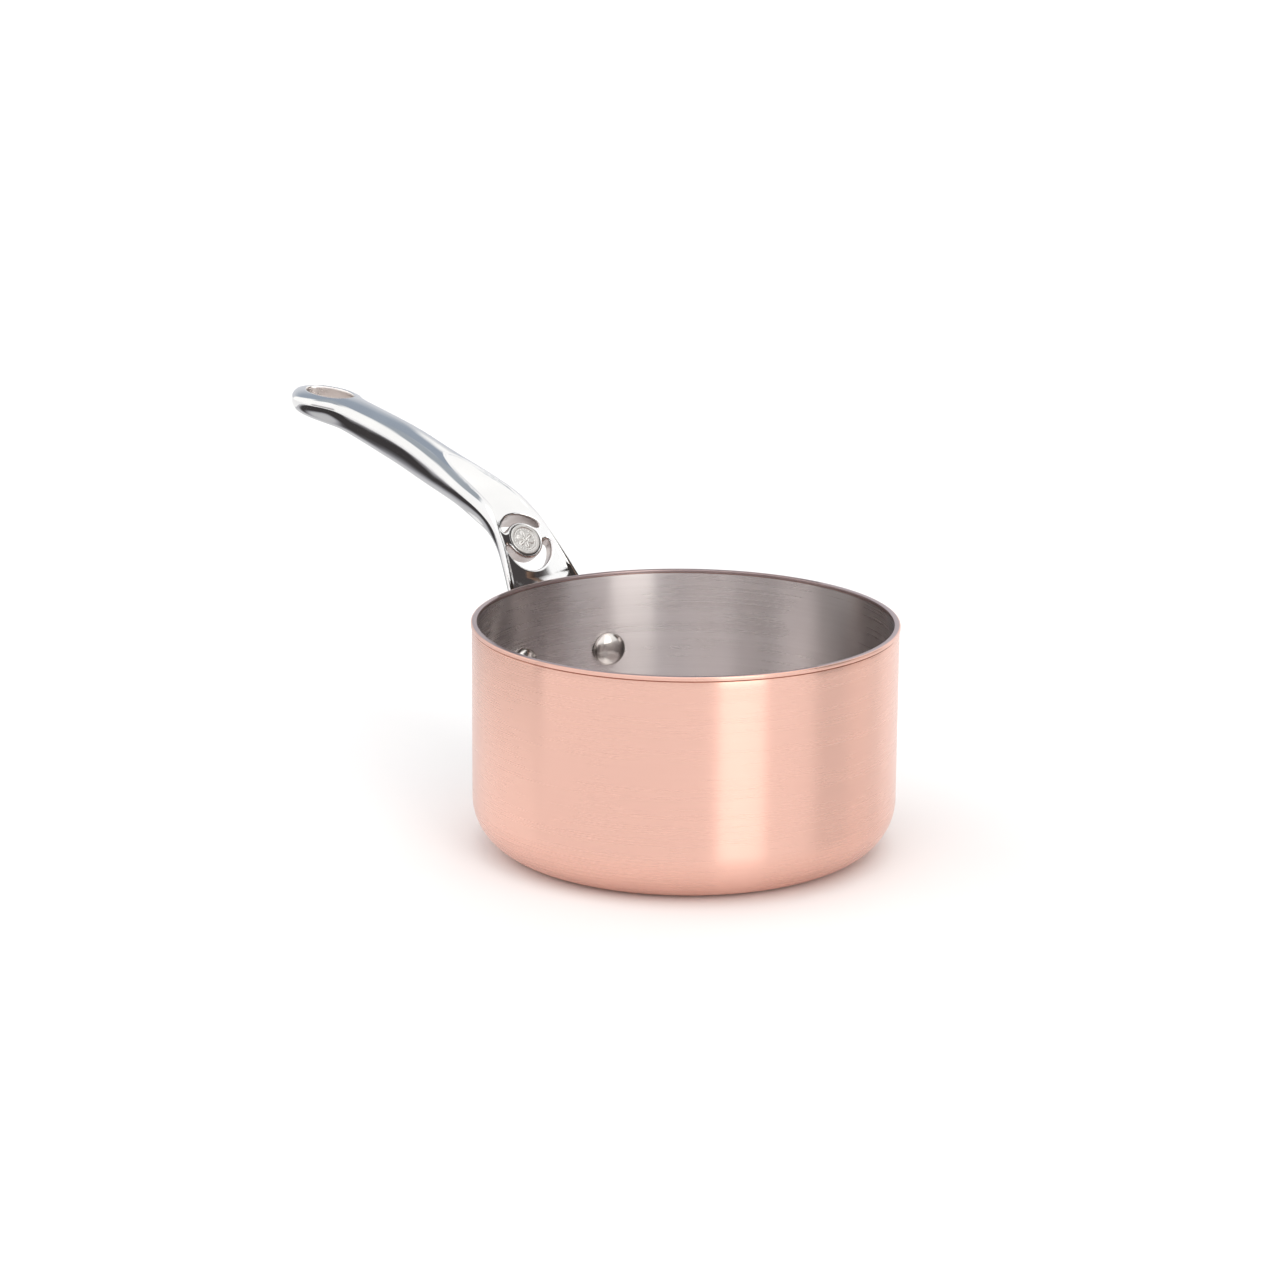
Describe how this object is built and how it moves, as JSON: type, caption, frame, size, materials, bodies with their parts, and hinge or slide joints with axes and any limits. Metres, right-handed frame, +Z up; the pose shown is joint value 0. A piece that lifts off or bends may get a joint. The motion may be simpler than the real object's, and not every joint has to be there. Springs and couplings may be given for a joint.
{
  "type": "saucepan",
  "caption": "Straight-sided clad saucepan with a copper outside, a steel lining and a riveted cast steel handle that ends in a hanging loop.",
  "frame": {"origin": "centre of the flat underside of the base, on the pan's axis", "axes": "+Z up through the mouth, +X from the axis towards the handle"},
  "size_m": [0.3519, 0.1648, 0.1378],
  "materials": {
    "copper": null,
    "lining_steel": "brushed round the wall",
    "cast_steel": "polished casting",
    "rivet_steel": "polished",
    "medallion_steel": "matt cast relief"
  },
  "bodies": {
    "root": {"copper_shell": "copper", "steel_lining": "lining_steel", "handle": "cast_steel", "rivet_left": "rivet_steel", "rivet_right": "rivet_steel", "medallion": "medallion_steel"}
  },
  "joints": []
}
